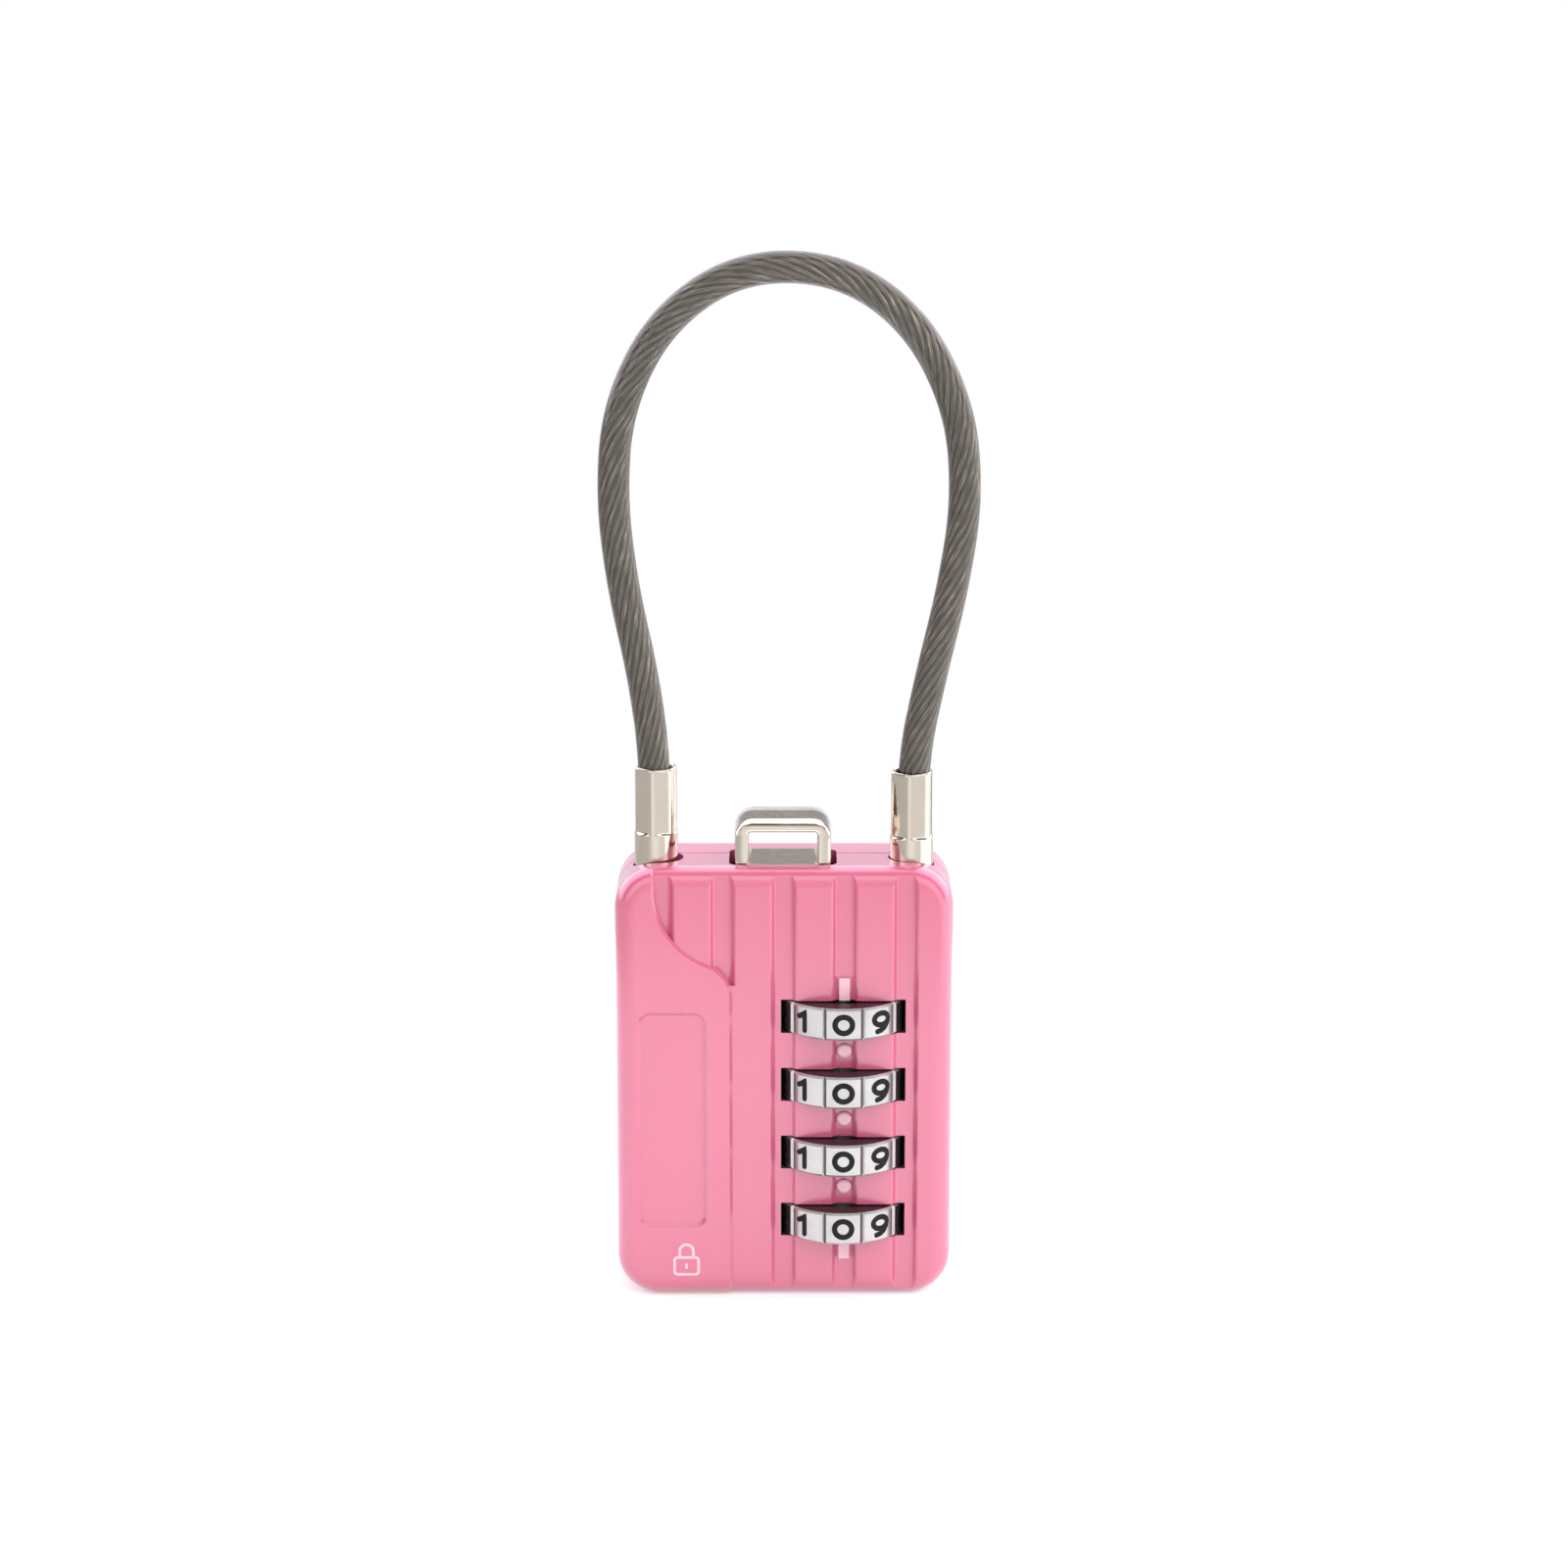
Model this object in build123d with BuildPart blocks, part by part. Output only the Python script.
from build123d import *

import math
import os

# Four-dial cable luggage lock.  Millimetres, +Z up.
# Origin: centre of the flat base.  +X is to the right of somebody facing the dials, +Y is to the back.
# Handle, latch and plug work like this: pulling the handle lifts the dial spindle through the code
# sleeves, draws the latch bolt out of the plug's waist and lets the plug spring out of its socket.

# ---------------------------------------------------------------- driving dimensions
# Body
body_width = 32.0
body_height = 42.3
corner_radius = 4.0
rib_y = -5.8                    # ribbed field of the front face
panel_rise = 0.3                # the smooth panel stands this far in front of the ribbed field
back_y = 6.0
parting_y = 0.8                 # the two shells meet here
wall = 1.3
front_wall = 1.4
front_edge_radius = 1.9
back_edge_radius = 1.5
seam_chamfer = 0.12

# Decoration of the front face
channel_pitch = 5.78
channel_offset = -0.05
channel_depth = 0.5
channel_floor = 1.5
channel_mouth = 2.5
channel_corner = 0.5
panel_side_x = -12.28           # upper end of the panel's edge
panel_edge_x = -4.92            # lower, straight end of the panel's edge
label_width = 5.6
label_height = 20.5
label_centre = (-10.62, 17.7)
label_depth = 0.4

# Dials
dial_x = 5.63
dial_y = -2.35
dial_radius = 6.0
dial_height = 3.1
dial_pitch = 6.75
top_dial_z = 27.85
dial_count = 4
digit_count = 10
window_width = 11.86
window_height = 3.3

# Code sleeves and spindle
sleeve_radius = 3.2
sleeve_bore = 1.28
sleeve_foot = 1.47              # the sleeve's foot below the middle of its dial
sleeve_height = 2.0
skirt_radius = 2.2
skirt_bore = 1.85
sleeve_gap = 0.05               # between a sleeve's skirt and the next sleeve
lug_reach = 3.8
lug_width = 0.85
lug_freedom = 0.1               # the lug's way past the notches when the code is reset
notch_zone = 0.97
relief_radius = 4.0
spindle_radius = 1.2
fin_reach = 1.78
fin_width = 1.0
fin_height = 0.5
spigot_hole_radius = 0.9        # the spindle's top end sits in the handle's link
stack_bore = 2.4                # room for the skirts in the cradle

# Motions
handle_travel = 2.6
bolt_travel = 3.0
reset_travel = 0.9

# Pull handle
handle_x = -0.1
handle_width = 9.2
handle_leg = 1.36
handle_bottom = 41.2
handle_floor = 42.35
handle_inner_top = 45.36
handle_top = 46.65
handle_front_y = -3.6
handle_depth = 5.6
handle_corner = 1.8
slot_clearance = 0.5

# Cable and its ends
cable_y = -0.75
anchor_x = -12.15
plug_x = 12.1
cable_radius = 1.5
rope_radius = 1.1
jacket_bore = 1.15
ferrule_radius = 2.05
fixed_ferrule_high = 51.2
plug_ferrule_high = 50.8
fixed_ferrule_low = 41.45
plug_ferrule_low = 41.2
crimp_length = 6.4
crimp_apothem = 1.88
rope_start = 43.6
spigot_radius = 1.5
jacket_start = 50.3

# Route of the cable's centre line in the plane y = cable_y, from the fixed end to the plug
cable_route = [
    (anchor_x, rope_start),
    (anchor_x, 51.2),
    (-13.2, 59.7),
    (-15.1, 68.3),
    (-16.1, 76.9),
    (-15.4, 85.5),
    (-11.4, 93.4),
    (-4.2, 98.4),
    (5.0, 98.3),
    (12.1, 93.5),
    (16.3, 85.4),
    (17.1, 76.8),
    (15.8, 68.1),
    (13.8, 59.8),
    (plug_x, 51.2),
    (plug_x, rope_start),
]

# Latch
link_y = -1.75                  # back face of the handle link
link_thickness = 1.2
bolt_y = 0.45                   # back face of the latch bolt
bolt_thickness = 1.2
pin_x = 3.0
pin_z = 36.0
pin_radius = 0.6
slot_radius = 0.65
tongue_tip_x = 10.6
tongue_low = 37.4
tongue_high = 38.2
waist_radius = 1.2
waist_low = 35.5
waist_high = 38.4
plug_pin_radius = 1.85
socket_radius = 2.5
socket_bore = 1.95
socket_low = 31.0
socket_floor = 0.8

# Springs
spring_x = -6.7
wing_low = 34.2
wing_high = 35.4
bridge_low = 31.3
bridge_high = 32.3
reset_spring_low = top_dial_z - sleeve_foot + sleeve_height + sleeve_gap
ejector_low = socket_low + socket_floor
ejector_high = 33.85

# Fasteners
rivet_radius = 0.6
rivet_head_radius = 1.0
rivet_head_height = 0.4
rivet_fit = 0.02
post_radius = 1.0
rivet_spots = [(-12.4, 4.0), (12.6, 3.2), (-12.4, 30.5), (13.5, 26.0)]

# Clearances
overshoot = 0.5                 # cuts run past the faces they open by this much
merge = 0.1                     # bosses sink this far into the wall that carries them
assembly_play = 0.1

panel_y = rib_y - panel_rise
cavity_front_y = rib_y + front_wall
cavity_back_y = back_y - wall
cavity_top = body_height - wall
handle_y = handle_front_y + handle_depth / 2
dial_heights = [top_dial_z - index * dial_pitch for index in range(dial_count)]
lug_height = reset_travel - lug_freedom
channel_centres = [channel_offset + channel_pitch * step for step in (-2, -1, 0, 1, 2)]

os.makedirs("parts", exist_ok=True)


def save(piece, name):
    """Label a finished piece and write it as its own STEP file."""
    piece.part.label = name
    export_step(piece.part, "parts/" + name + ".step")


def facing(y):
    """Upright plane at the given y, whose normal looks to the front."""
    return Plane.XZ.offset(-y)


def on_dial_axis(z):
    """Level plane at height z, centred on the dials' axis."""
    return Plane(origin=(dial_x, dial_y, z))


def body_outline(inset=0.0):
    """Front view of the body, drawn in the open sketch, inset by a wall's thickness."""
    with Locations((0, body_height / 2)):
        RectangleRounded(body_width - 2 * inset, body_height - 2 * inset, corner_radius - inset)


def rivet_posts(y_from, y_to):
    """Round posts for the rivets, from y_from forward to y_to, in the open part."""
    with BuildSketch(facing(y_from)) as posts:
        with Locations(*rivet_spots):
            Circle(post_radius)
    extrude(posts.sketch, amount=y_from - y_to)


def rivet_holes(y_from, y_to, radius):
    """Round holes on the rivets' axes, from y_from forward to y_to, in the open part."""
    with BuildSketch(facing(y_from)) as holes:
        with Locations(*rivet_spots):
            Circle(radius)
    extrude(holes.sketch, amount=y_from - y_to, mode=Mode.SUBTRACT)


def top_openings():
    """The handle's slot and the two cable holes, cut through the top wall of the open part."""
    hole_play = 0.2
    anchor_hole_radius = 2.4
    plug_hole_radius = 2.2
    slot_corner = 0.9
    below_corner = corner_radius - wall
    with BuildSketch(Plane.XY.offset(cavity_top - below_corner)) as openings:
        with Locations((anchor_x + hole_play, cable_y)):
            Circle(anchor_hole_radius)
        with Locations((plug_x, cable_y)):
            Circle(plug_hole_radius)
        with Locations((handle_x, handle_y)):
            RectangleRounded(handle_width + 2 * slot_clearance, handle_depth + slot_clearance, slot_corner)
    extrude(openings.sketch, amount=below_corner + 2 * wall, mode=Mode.SUBTRACT)


# ---------------------------------------------------------------- housing shells
def channel(centre, z_low):
    """Rounded upright channel in the ribbed field, from z_low out through the top edge."""
    outside = -0.6
    skim = -0.03
    half_mouth = channel_mouth / 2
    half_floor = channel_floor / 2
    lip = 0.45
    half_cut = half_mouth + lip
    with BuildSketch(Plane(origin=(centre, rib_y, z_low))) as section:
        with BuildLine():
            FilletPolyline(
                (-half_cut, skim),
                (-half_mouth, skim),
                (-half_floor, channel_depth),
                (half_floor, channel_depth),
                (half_mouth, skim),
                (half_cut, skim),
                radius=channel_corner,
            )
            Polyline((half_cut, skim), (half_cut, outside), (-half_cut, outside), (-half_cut, skim))
        make_face()
    extrude(section.sketch, amount=body_height + 1 - z_low, mode=Mode.SUBTRACT)


def make_panel():
    """Smooth panel on the left of the front face, with its curved edge and the label recess."""
    curve_top = (panel_side_x, 40.3)
    curve_end = (-7.2, 33.05)
    shoulder_end = (panel_edge_x, 29.79)
    far_left = -body_width
    high = body_height + 5
    low = -5
    edge_round = 0.26
    label_corner = 0.75
    label_slope = 50
    with BuildPart() as panel:
        with BuildSketch(facing(parting_y)):
            body_outline()
        extrude(amount=parting_y - panel_y)
        fillet(panel.faces().sort_by(Axis.Y)[0].edges(), radius=front_edge_radius)
        with BuildSketch(facing(parting_y)):
            with BuildLine():
                upper = Line((panel_side_x, high), curve_top)
                sweep_arc = TangentArc(curve_top, curve_end, tangent=(0, -1))
                TangentArc(curve_end, shoulder_end, tangent=sweep_arc % 1)
                Line(shoulder_end, (panel_edge_x, low))
                Polyline((panel_edge_x, low), (far_left, low), (far_left, high), upper @ 0)
            make_face()
        extrude(amount=parting_y - panel_y, mode=Mode.INTERSECT)
        front_edges = panel.faces().sort_by(Axis.Y)[0].edges()
        curved = front_edges.filter_by(lambda edge: edge.center().X > panel_side_x - merge)
        chamfer(curved.filter_by(lambda edge: 3 < edge.center().Z < cavity_top), length=edge_round)
        with BuildSketch(facing(panel_y + label_depth)):
            with Locations(label_centre):
                RectangleRounded(label_width, label_height, label_corner)
        extrude(amount=overshoot, taper=-label_slope, mode=Mode.SUBTRACT)
    return panel


def make_front_shell():
    panel = make_panel()
    reset_hole_radius = 1.5
    scoop_play = 0.15
    window_round = 0.1
    short_channel_z = 31.0
    rivet_hole_end = -4.0
    with BuildPart() as front_shell:
        with BuildSketch(facing(parting_y)):
            body_outline()
        extrude(amount=parting_y - rib_y)
        fillet(front_shell.faces().sort_by(Axis.Y)[0].edges(), radius=front_edge_radius)
        for centre in channel_centres[:2]:
            channel(centre, short_channel_z)
        for centre in channel_centres[2:]:
            channel(centre, -1)
        add(panel.part)
        chamfer(front_shell.faces().sort_by(Axis.Y)[-1].edges(), length=seam_chamfer)
        with BuildSketch(facing(parting_y)):
            body_outline(wall)
        extrude(amount=parting_y - cavity_front_y, mode=Mode.SUBTRACT)
        rivet_posts(parting_y, cavity_front_y - merge)
        rivet_holes(parting_y, rivet_hole_end, rivet_radius + rivet_fit)
        with BuildSketch(facing(cavity_front_y + overshoot)):
            for z in dial_heights:
                with Locations((dial_x, z)):
                    RectangleRounded(window_width, window_height, window_round)
        extrude(amount=front_wall + 2 * overshoot, mode=Mode.SUBTRACT)
        top_openings()
        with BuildSketch(on_dial_axis(-overshoot)):
            Circle(reset_hole_radius)
        extrude(amount=wall + 2 * overshoot, mode=Mode.SUBTRACT)
        with BuildSketch(on_dial_axis(wall)):
            Circle(skirt_radius + scoop_play)
        extrude(amount=bridge_low - wall, mode=Mode.SUBTRACT)
    save(front_shell, "front_shell")


def make_back_cover():
    with BuildPart() as back_cover:
        with BuildSketch(facing(back_y)):
            body_outline()
        extrude(amount=back_y - parting_y)
        fillet(back_cover.faces().sort_by(Axis.Y)[-1].edges(), radius=back_edge_radius)
        chamfer(back_cover.faces().sort_by(Axis.Y)[0].edges(), length=seam_chamfer)
        with BuildSketch(facing(cavity_back_y)):
            body_outline(wall)
        extrude(amount=cavity_back_y - parting_y, mode=Mode.SUBTRACT)
        rivet_posts(cavity_back_y + merge, parting_y)
        rivet_holes(back_y + overshoot, parting_y, rivet_radius + rivet_fit)
        head_seat_y = back_y - rivet_head_height - rivet_fit
        rivet_holes(back_y + overshoot, head_seat_y, rivet_head_radius + rivet_fit)
        top_openings()
    save(back_cover, "back_cover")


def make_cover_rivets():
    rivet_end_y = -3.9
    head_round = 0.15
    with BuildPart() as cover_rivets:
        with BuildSketch(facing(back_y - rivet_head_height)):
            with Locations(*rivet_spots):
                Circle(rivet_radius)
        extrude(amount=back_y - rivet_head_height - rivet_end_y)
        with BuildSketch(facing(back_y)):
            with Locations(*rivet_spots):
                Circle(rivet_head_radius)
        extrude(amount=rivet_head_height)
        fillet(cover_rivets.edges().group_by(Axis.Y)[-1], radius=head_round)
    save(cover_rivets, "cover_rivets")


def make_index_marks():
    """Two bars and three domed dots on the floor of the channel that runs down through the windows."""
    mark_x = channel_centres[3]
    bar_width = 1.0
    bar_rise = 0.32
    dot_radius = 0.72
    dot_rise = 0.4
    dot_round = 0.3
    floor_y = rib_y + channel_depth
    window_reach = window_height / 2
    upper_bar = (29.5, 31.66)
    lower_bar = (3.73, dial_heights[-1] - window_reach)
    dot_heights = [(high + low) / 2 for high, low in zip(dial_heights, dial_heights[1:])]
    with BuildPart() as index_marks:
        for low, high in (upper_bar, lower_bar):
            with BuildSketch(facing(floor_y)):
                with Locations((mark_x, (low + high) / 2)):
                    Rectangle(bar_width, high - low)
            extrude(amount=bar_rise)
        with BuildSketch(facing(floor_y)):
            for z in dot_heights:
                with Locations((mark_x, z)):
                    Circle(dot_radius)
        extrude(amount=dot_rise)
        rims = index_marks.edges().filter_by(GeomType.CIRCLE).group_by(Axis.Y)[0]
        fillet(rims, radius=dot_round)
    save(index_marks, "index_marks")


# ---------------------------------------------------------------- dial stack
def make_dial_cradle():
    """Plastic block with a pocket for each dial and a bore for the sleeves, closed by the top bearing."""
    side_left = -1.2
    side_right = 12.4
    low = 5.0
    shoulder = 29.95
    front_y = cavity_front_y + assembly_play / 2
    rear_y = cavity_back_y - assembly_play
    pocket_play = 0.2
    lid_play = 0.15
    bearing_bore = 1.28
    neck_x = 5.33
    neck_width = 7.8
    neck_back_y = 1.4
    spring_bed_x = 6.63
    spring_bed_width = 6.6
    spring_bed_depth = 0.9
    spring_bed_end = 0.4
    with BuildPart() as dial_cradle:
        with BuildSketch(facing(rear_y)):
            with Locations(((side_left + side_right) / 2, (low + shoulder) / 2)):
                Rectangle(side_right - side_left, shoulder - low)
        extrude(amount=rear_y - front_y)
        with BuildSketch(Plane.XY.offset(shoulder)):
            with Locations((neck_x, (front_y + neck_back_y) / 2)):
                Rectangle(neck_width, neck_back_y - front_y)
        extrude(amount=bridge_high - shoulder)
        for start, end, radius in ((low, bridge_low, stack_bore), (bridge_low, bridge_high, bearing_bore)):
            with BuildSketch(on_dial_axis(start)):
                Circle(radius)
                with Locations((0, (front_y - dial_y) / 2)):
                    Rectangle(2 * radius, dial_y - front_y)
            extrude(amount=end - start, mode=Mode.SUBTRACT)
        for z in dial_heights:
            with BuildSketch(on_dial_axis(z - dial_height / 2 - lid_play)):
                Circle(dial_radius + pocket_play)
            extrude(amount=dial_height + 2 * lid_play, mode=Mode.SUBTRACT)
        with BuildSketch(facing(rear_y)):
            with Locations((spring_bed_x, (low + shoulder) / 2)):
                Rectangle(spring_bed_width, shoulder - low - 2 * spring_bed_end)
        extrude(amount=spring_bed_depth, mode=Mode.SUBTRACT)
    save(dial_cradle, "dial_cradle")


def make_detent_spring():
    """Comb of four leaves, each with a nub that clicks into the grooves at the back of its dial."""
    sheet = 0.2
    sheet_y = 4.3
    spine_x = 9.1
    spine_width = 1.2
    leaf_height = 1.8
    leaf_end_x = 4.6
    nub_play = 0.06
    nub_tip_y = dial_y + dial_radius + nub_play
    nub_half_width = 0.45
    spine_end = 1.5
    spine_low = dial_heights[-1] - spine_end
    spine_high = dial_heights[0] + spine_end
    with BuildPart() as detent_spring:
        with BuildSketch(facing(sheet_y)):
            with Locations((spine_x, (spine_low + spine_high) / 2)):
                Rectangle(spine_width, spine_high - spine_low)
            for z in dial_heights:
                with Locations(((leaf_end_x + spine_x) / 2, z)):
                    Rectangle(spine_x - leaf_end_x, leaf_height)
        extrude(amount=sheet)
        for z in dial_heights:
            with BuildSketch(Plane.XY.offset(z - leaf_height / 2)):
                with BuildLine():
                    Polyline(
                        (dial_x - nub_half_width, sheet_y - sheet),
                        (dial_x, nub_tip_y),
                        (dial_x + nub_half_width, sheet_y - sheet),
                        (dial_x - nub_half_width, sheet_y - sheet),
                    )
                make_face()
            extrude(amount=leaf_height)
    save(detent_spring, "detent_spring")


def make_dial(number, z):
    """Number wheel: ten faces between V grooves, with ten inner notches for the sleeve's lug."""
    low = z - dial_height / 2
    rim_chamfer = 0.2
    groove_side = 0.34
    notch_width = 1.0
    tooth_bore = 3.3
    groove_start = -90 + 180 / digit_count
    with BuildPart() as dial:
        with BuildSketch(on_dial_axis(low)):
            Circle(dial_radius)
        extrude(amount=dial_height)
        chamfer(dial.edges().filter_by(GeomType.CIRCLE), length=rim_chamfer)
        with BuildSketch(on_dial_axis(low)):
            Circle(tooth_bore)
            with PolarLocations((tooth_bore + relief_radius - merge) / 2, digit_count):
                Rectangle(relief_radius - tooth_bore + merge, notch_width)
        extrude(amount=notch_zone, mode=Mode.SUBTRACT)
        with BuildSketch(on_dial_axis(low + notch_zone)):
            Circle(relief_radius)
        extrude(amount=dial_height - notch_zone, mode=Mode.SUBTRACT)
        with BuildSketch(on_dial_axis(low)):
            with PolarLocations(dial_radius, digit_count, start_angle=groove_start):
                Rectangle(groove_side, groove_side, rotation=45)
        extrude(amount=dial_height, mode=Mode.SUBTRACT)
    save(dial, "dial_" + str(number))


def make_code_sleeve(number, z):
    """Sleeve inside a dial: gated disc, lug into the dial's notches, skirt up to the next sleeve."""
    low = z - sleeve_foot
    gate_width = 1.15
    gate_low = 1.0
    skirt_height = dial_pitch - sleeve_height - sleeve_gap
    with BuildPart() as sleeve:
        with BuildSketch(on_dial_axis(low)):
            Circle(sleeve_radius)
            Circle(sleeve_bore, mode=Mode.SUBTRACT)
            with Locations((0, (gate_low + skirt_bore) / 2)):
                Rectangle(gate_width, skirt_bore - gate_low, mode=Mode.SUBTRACT)
        extrude(amount=sleeve_height)
        with BuildSketch(on_dial_axis(low)):
            with Locations(((skirt_radius + lug_reach) / 2, 0)):
                Rectangle(lug_reach - skirt_radius, lug_width)
        extrude(amount=lug_height)
        if number > 1:
            with BuildSketch(on_dial_axis(low + sleeve_height)):
                Circle(skirt_radius)
                Circle(skirt_bore, mode=Mode.SUBTRACT)
            extrude(amount=skirt_height)
    save(sleeve, "code_sleeve_" + str(number))


def make_spindle():
    """Rod through the sleeves, with one fin under each sleeve and a spigot up into the link."""
    low = 2.8
    fin_drop = 4.73                       # the fin's foot below the middle of its dial
    fin_root = 0.9
    with BuildPart() as spindle:
        with BuildSketch(on_dial_axis(low)):
            Circle(spindle_radius)
        extrude(amount=wing_low - low)
        with BuildSketch(on_dial_axis(wing_low)):
            Circle(spigot_hole_radius)
        extrude(amount=wing_high - wing_low)
        for z in dial_heights:
            with BuildSketch(on_dial_axis(z - fin_drop)):
                with Locations((0, (fin_reach + fin_root) / 2)):
                    Rectangle(fin_width, fin_reach - fin_root)
            extrude(amount=fin_height)
    save(spindle, "spindle")


def make_reset_button():
    """Recessed button in the base, whose tube pushes the whole stack of sleeves up out of the dials."""
    stub_radius = 1.4
    stub_low = 0.3
    flange_thickness = 0.4
    flange_low = wall + assembly_play
    flange_high = flange_low + flange_thickness
    tube_high = dial_heights[-1] - sleeve_foot - sleeve_gap
    with BuildPart() as reset_button:
        with BuildSketch(on_dial_axis(stub_low)):
            Circle(stub_radius)
        extrude(amount=flange_low - stub_low)
        with BuildSketch(on_dial_axis(flange_low)):
            Circle(skirt_radius)
        extrude(amount=flange_high - flange_low)
        with BuildSketch(on_dial_axis(flange_high)):
            Circle(skirt_radius)
            Circle(skirt_bore, mode=Mode.SUBTRACT)
        extrude(amount=tube_high - flange_high)
    save(reset_button, "reset_button")


# ---------------------------------------------------------------- pull handle and latch
def make_pull_handle():
    """Closed ring with square legs, standing in the slot of the top face."""
    edge_round = 0.3
    inner_corner = 0.2
    foot_corner = 0.3
    with BuildPart() as pull_handle:
        with BuildSketch(facing(handle_front_y + handle_depth)) as ring:
            with Locations((handle_x, (handle_bottom + handle_top) / 2)):
                Rectangle(handle_width, handle_top - handle_bottom)
            fillet(ring.vertices().group_by(Axis.Y)[-1], radius=handle_corner)
            fillet(ring.vertices().group_by(Axis.Y)[0], radius=foot_corner)
            with Locations((handle_x, (handle_floor + handle_inner_top) / 2)):
                RectangleRounded(
                    handle_width - 2 * handle_leg,
                    handle_inner_top - handle_floor,
                    inner_corner,
                    mode=Mode.SUBTRACT,
                )
        extrude(amount=handle_depth)
        fillet(pull_handle.faces().sort_by(Axis.Y)[0].outer_wire().edges(), radius=edge_round)
        fillet(pull_handle.faces().sort_by(Axis.Y)[-1].outer_wire().edges(), radius=2 * edge_round)
    save(pull_handle, "pull_handle")


def make_handle_link():
    """Plate under the handle that carries the spindle, the drive pin and the return spring."""
    wing_left = -8.3
    wing_right = 7.7
    web_left = -5.0
    web_right = 7.2
    web_high = 38.3
    stem_width = 6.6
    foot_front_y = -4.2
    foot_back_y = -0.95
    left_foot_end = -5.1
    right_foot_start = 3.6
    with BuildPart() as handle_link:
        with BuildSketch(facing(link_y)):
            with Locations(((wing_left + wing_right) / 2, (wing_low + wing_high) / 2)):
                Rectangle(wing_right - wing_left, wing_high - wing_low)
            with Locations(((web_left + web_right) / 2, (wing_low + web_high) / 2)):
                Rectangle(web_right - web_left, web_high - wing_low)
            with Locations((handle_x, (web_high + handle_bottom) / 2)):
                Rectangle(stem_width, handle_bottom - web_high)
        extrude(amount=link_thickness)
        with BuildSketch(Plane.XY.offset(wing_low)):
            for left, right in ((wing_left, left_foot_end), (right_foot_start, wing_right)):
                with Locations(((left + right) / 2, (foot_front_y + foot_back_y) / 2)):
                    Rectangle(right - left, foot_back_y - foot_front_y)
        extrude(amount=wing_high - wing_low)
        with BuildSketch(on_dial_axis(wing_low)):
            Circle(spigot_hole_radius)
        extrude(amount=wing_high - wing_low, mode=Mode.SUBTRACT)
        with BuildSketch(facing(link_y)):
            with Locations((pin_x, pin_z)):
                Circle(pin_radius)
        extrude(amount=link_thickness, mode=Mode.SUBTRACT)
    save(handle_link, "handle_link")


def make_drive_pin():
    with BuildPart() as drive_pin:
        with BuildSketch(facing(bolt_y)):
            with Locations((pin_x, pin_z)):
                Circle(pin_radius)
        extrude(amount=bolt_y - link_y + link_thickness)
    save(drive_pin, "drive_pin")


def make_spring_pin():
    """Pin on the link's left wing that keeps the handle spring straight."""
    radius = 0.5
    end_play = 0.3
    with BuildPart() as spring_pin:
        with BuildSketch(Plane(origin=(spring_x, dial_y, wing_high))):
            Circle(radius)
        extrude(amount=cavity_top - wing_high - handle_travel - end_play)
    save(spring_pin, "spring_pin")


def make_latch_bolt():
    """Sliding plate with a slanted slot for the drive pin and a tongue into the plug's waist."""
    plate_left = 1.6
    plate_right = 7.4
    plate_low = 34.6
    plate_high = 39.8
    slot_length = math.hypot(bolt_travel, handle_travel)
    slot_angle = math.degrees(math.atan2(handle_travel, bolt_travel))
    with BuildPart() as latch_bolt:
        with BuildSketch(facing(bolt_y)):
            with Locations(((plate_left + plate_right) / 2, (plate_low + plate_high) / 2)):
                Rectangle(plate_right - plate_left, plate_high - plate_low)
            with Locations(((plate_right + tongue_tip_x) / 2, (tongue_low + tongue_high) / 2)):
                Rectangle(tongue_tip_x - plate_right, tongue_high - tongue_low)
            with Locations((pin_x + bolt_travel / 2, pin_z + handle_travel / 2)):
                SlotCenterToCenter(slot_length, 2 * slot_radius, rotation=slot_angle, mode=Mode.SUBTRACT)
        extrude(amount=bolt_thickness)
    save(latch_bolt, "latch_bolt")


def make_bolt_guide():
    """Fixed guide behind the bolt, with a rail under and over it and a block to the back cover."""
    left = -1.6
    right = 8.8
    low = 33.7
    high = 40.7
    plate_back_y = 1.35
    rail = 0.8
    block_width = 4.0
    block_height = 2.4
    rail_front_y = bolt_y - bolt_thickness
    with BuildPart() as bolt_guide:
        with BuildSketch(facing(plate_back_y)):
            with Locations(((left + right) / 2, (low + high) / 2)):
                Rectangle(right - left, high - low)
        extrude(amount=plate_back_y - bolt_y - assembly_play)
        with BuildSketch(facing(bolt_y + assembly_play)):
            for z in (low + rail / 2, high - rail / 2):
                with Locations(((left + right) / 2, z)):
                    Rectangle(right - left, rail)
        extrude(amount=bolt_y + assembly_play - rail_front_y)
        with BuildSketch(facing(cavity_back_y)):
            with Locations(((left + right) / 2, (low + high) / 2)):
                Rectangle(block_width, block_height)
        extrude(amount=cavity_back_y - plate_back_y)
    save(bolt_guide, "bolt_guide")


# ---------------------------------------------------------------- cable ends
def trim_to_cavity():
    """Cut the open part back to the space inside the shells, whose upper corners are round."""
    fit = 0.01
    with BuildSketch(facing(cavity_back_y)) as space:
        body_outline(wall + fit)
    extrude(space.sketch, amount=cavity_back_y - cavity_front_y, mode=Mode.INTERSECT)


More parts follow.
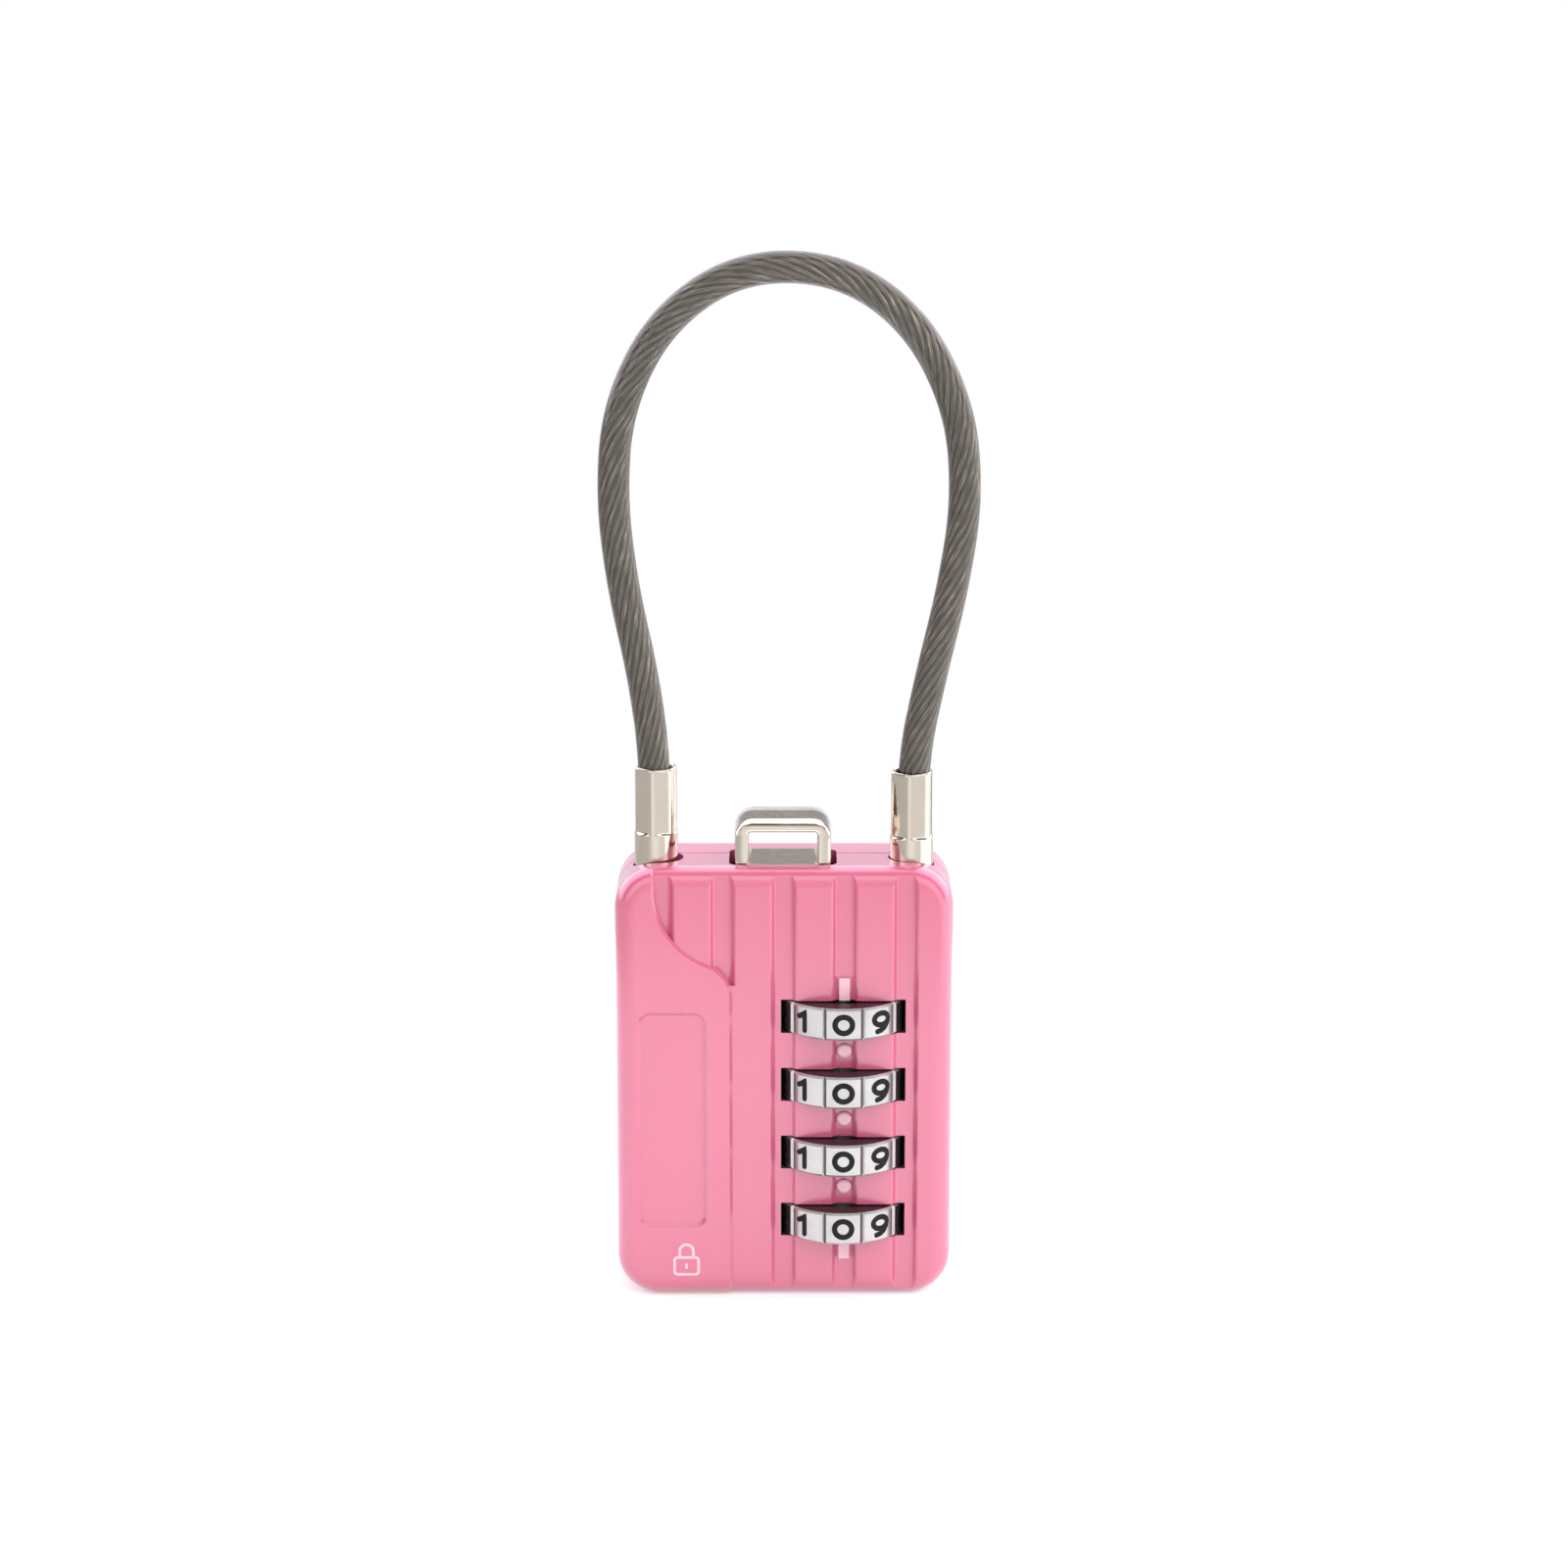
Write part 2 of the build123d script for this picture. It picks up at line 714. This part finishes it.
def make_ferrule(name, x, low, high):
    """Nickel ferrule: round at its foot, crimped to six flats above."""
    crimp_start = high - crimp_length
    bore = 1.56
    mouth_bore = 1.69
    mouth_low = 49.8
    rim_chamfer = 0.12
    flats = 6
    flats_turn = 20
    with BuildPart() as ferrule:
        with BuildSketch(Plane(origin=(x, cable_y, low))):
            Circle(ferrule_radius)
        extrude(amount=high - low)
        chamfer(ferrule.edges().group_by(Axis.Z)[-1], length=rim_chamfer)
        with BuildSketch(Plane(origin=(x, cable_y, crimp_start))):
            Circle(ferrule_radius + overshoot)
            with Locations(Location((0, 0), flats_turn)):
                RegularPolygon(crimp_apothem, flats, major_radius=False, mode=Mode.SUBTRACT)
        extrude(amount=high - crimp_start, mode=Mode.SUBTRACT)
        with BuildSketch(Plane(origin=(x, cable_y, low))):
            Circle(bore)
        extrude(amount=high - low, mode=Mode.SUBTRACT)
        with BuildSketch(Plane(origin=(x, cable_y, mouth_low))):
            Circle(mouth_bore)
        extrude(amount=high - mouth_low, mode=Mode.SUBTRACT)
    save(ferrule, name)


def turned_pin(name, x, outline):
    """Pin turned from rod: outline lists (radius, height) from the axis at its foot to the axis on top."""
    with BuildPart() as pin:
        with BuildSketch(Plane(origin=(x, cable_y, 0), x_dir=(1, 0, 0), z_dir=(0, -1, 0))):
            with BuildLine():
                Polyline(*outline, close=True)
            make_face()
        revolve(axis=Axis((x, cable_y, 0), (0, 0, 1)))
    save(pin, name)


def make_anchor_pin():
    """Pin in the fixed ferrule, whose head sits under the anchor bush."""
    head_radius = 2.3
    head_low = 34.6
    head_high = 35.6
    shank_radius = 1.4
    spigot_low = 41.4
    turned_pin(
        "anchor_pin",
        anchor_x,
        [
            (0, head_low),
            (head_radius, head_low),
            (head_radius, head_high),
            (shank_radius, head_high),
            (shank_radius, spigot_low),
            (spigot_radius, spigot_low),
            (spigot_radius, rope_start),
            (0, rope_start),
        ],
    )


def make_plug_pin():
    """Pin under the plug's ferrule, with a waist for the bolt's tongue and a tapered tip."""
    tip_low = 33.9
    tip_high = 34.5
    spigot_low = 41.1
    turned_pin(
        "plug_pin",
        plug_x,
        [
            (0, tip_low),
            (waist_radius, tip_low),
            (plug_pin_radius, tip_high),
            (plug_pin_radius, waist_low),
            (waist_radius, waist_low),
            (waist_radius, waist_high),
            (plug_pin_radius, waist_high),
            (plug_pin_radius, spigot_low),
            (spigot_radius, spigot_low),
            (spigot_radius, rope_start),
            (0, rope_start),
        ],
    )


def make_anchor_bush():
    bush_radius = 2.5
    bush_bore = 1.48
    bush_low = 35.65
    with BuildPart() as anchor_bush:
        with BuildSketch(Plane(origin=(anchor_x, cable_y, bush_low))):
            Circle(bush_radius)
            Circle(bush_bore, mode=Mode.SUBTRACT)
        extrude(amount=cavity_top - bush_low)
        trim_to_cavity()
    save(anchor_bush, "anchor_bush")


def make_plug_socket():
    """Socket tube under the right-hand hole, with a side slot for the bolt's tongue."""
    with BuildPart() as plug_socket:
        with BuildSketch(Plane(origin=(plug_x, cable_y, socket_low))):
            Circle(socket_radius)
        extrude(amount=cavity_top - socket_low)
        with BuildSketch(Plane(origin=(plug_x, cable_y, socket_low + socket_floor))):
            Circle(socket_bore)
        extrude(amount=cavity_top - socket_low - socket_floor, mode=Mode.SUBTRACT)
        with BuildSketch(facing(bolt_y + assembly_play)):
            with Locations((plug_x - socket_radius, (tongue_low + tongue_high) / 2)):
                Rectangle(2 * socket_bore, tongue_high - tongue_low + 2 * assembly_play)
        extrude(amount=bolt_thickness + 2 * assembly_play, mode=Mode.SUBTRACT)
        trim_to_cavity()
    save(plug_socket, "plug_socket")


# ---------------------------------------------------------------- springs
def make_spring(name, x, y, low, high, radius, wire, turns):
    """Compression spring as one wire wound on an upright axis, between the heights low and high."""
    rise = high - low - 2 * wire
    with BuildPart() as spring:
        with BuildLine():
            coil = Helix(rise / turns, rise, radius, center=(x, y, low + wire))
        with BuildSketch(Plane(origin=coil @ 0, z_dir=coil % 0)):
            Circle(wire / 2)
        sweep(is_frenet=True)
    save(spring, name)


# ---------------------------------------------------------------- cable
def route_radii(points):
    """Bend radius at each inner corner: its share of the shorter run over the tangent of half the turn."""
    corner_share = 0.45
    radii = []
    for before, corner, after in zip(points, points[1:], points[2:]):
        into = Vector(*corner) - Vector(*before)
        away = Vector(*after) - Vector(*corner)
        half_turn = math.radians(into.get_angle(away)) / 2
        radii.append(corner_share * min(into.length, away.length) / math.tan(half_turn))
    return radii


def make_cable():
    points = [(x, cable_y, z) for x, z in cable_route]
    radii = route_radii(points)
    print("cable radii", [round(radius, 1) for radius in radii])
    start = Plane(origin=points[0], z_dir=(0, 0, 1))

    with BuildPart() as wire_rope:
        with BuildLine() as rope_path:
            FilletPolyline(*points, radius=radii)
        with BuildSketch(start):
            Circle(rope_radius)
        sweep()
    length = rope_path.wire().length
    expected = math.pi * rope_radius**2 * length
    print("cable length", round(length, 2), "volume ratio", round(wire_rope.part.volume / expected, 4))
    save(wire_rope, "wire_rope")

    with BuildPart() as cable_jacket:
        with BuildLine():
            FilletPolyline(*points, radius=radii)
        with BuildSketch(start):
            Circle(cable_radius)
            Circle(jacket_bore, mode=Mode.SUBTRACT)
        sweep()
        split(bisect_by=Plane.XY.offset(jacket_start), keep=Keep.TOP)
    save(cable_jacket, "cable_jacket")


make_front_shell()
make_back_cover()
make_cover_rivets()
make_index_marks()
make_dial_cradle()
make_detent_spring()
for count, dial_z in enumerate(dial_heights, start=1):
    make_dial(count, dial_z)
    make_code_sleeve(count, dial_z)
make_spindle()
make_reset_button()
make_pull_handle()
make_handle_link()
make_drive_pin()
make_latch_bolt()
make_bolt_guide()
make_ferrule("fixed_ferrule", anchor_x, fixed_ferrule_low, fixed_ferrule_high)
make_ferrule("plug_ferrule", plug_x, plug_ferrule_low, plug_ferrule_high)
make_anchor_pin()
make_plug_pin()
make_spring_pin()
make_anchor_bush()
make_plug_socket()
make_spring("handle_spring", spring_x, dial_y, wing_high, cavity_top, radius=0.95, wire=0.35, turns=7)
make_spring("reset_spring", dial_x, dial_y, reset_spring_low, bridge_low, radius=1.65, wire=0.3, turns=3)
make_spring("ejector_spring", plug_x, cable_y, ejector_low, ejector_high, radius=1.35, wire=0.35, turns=3)
make_cable()
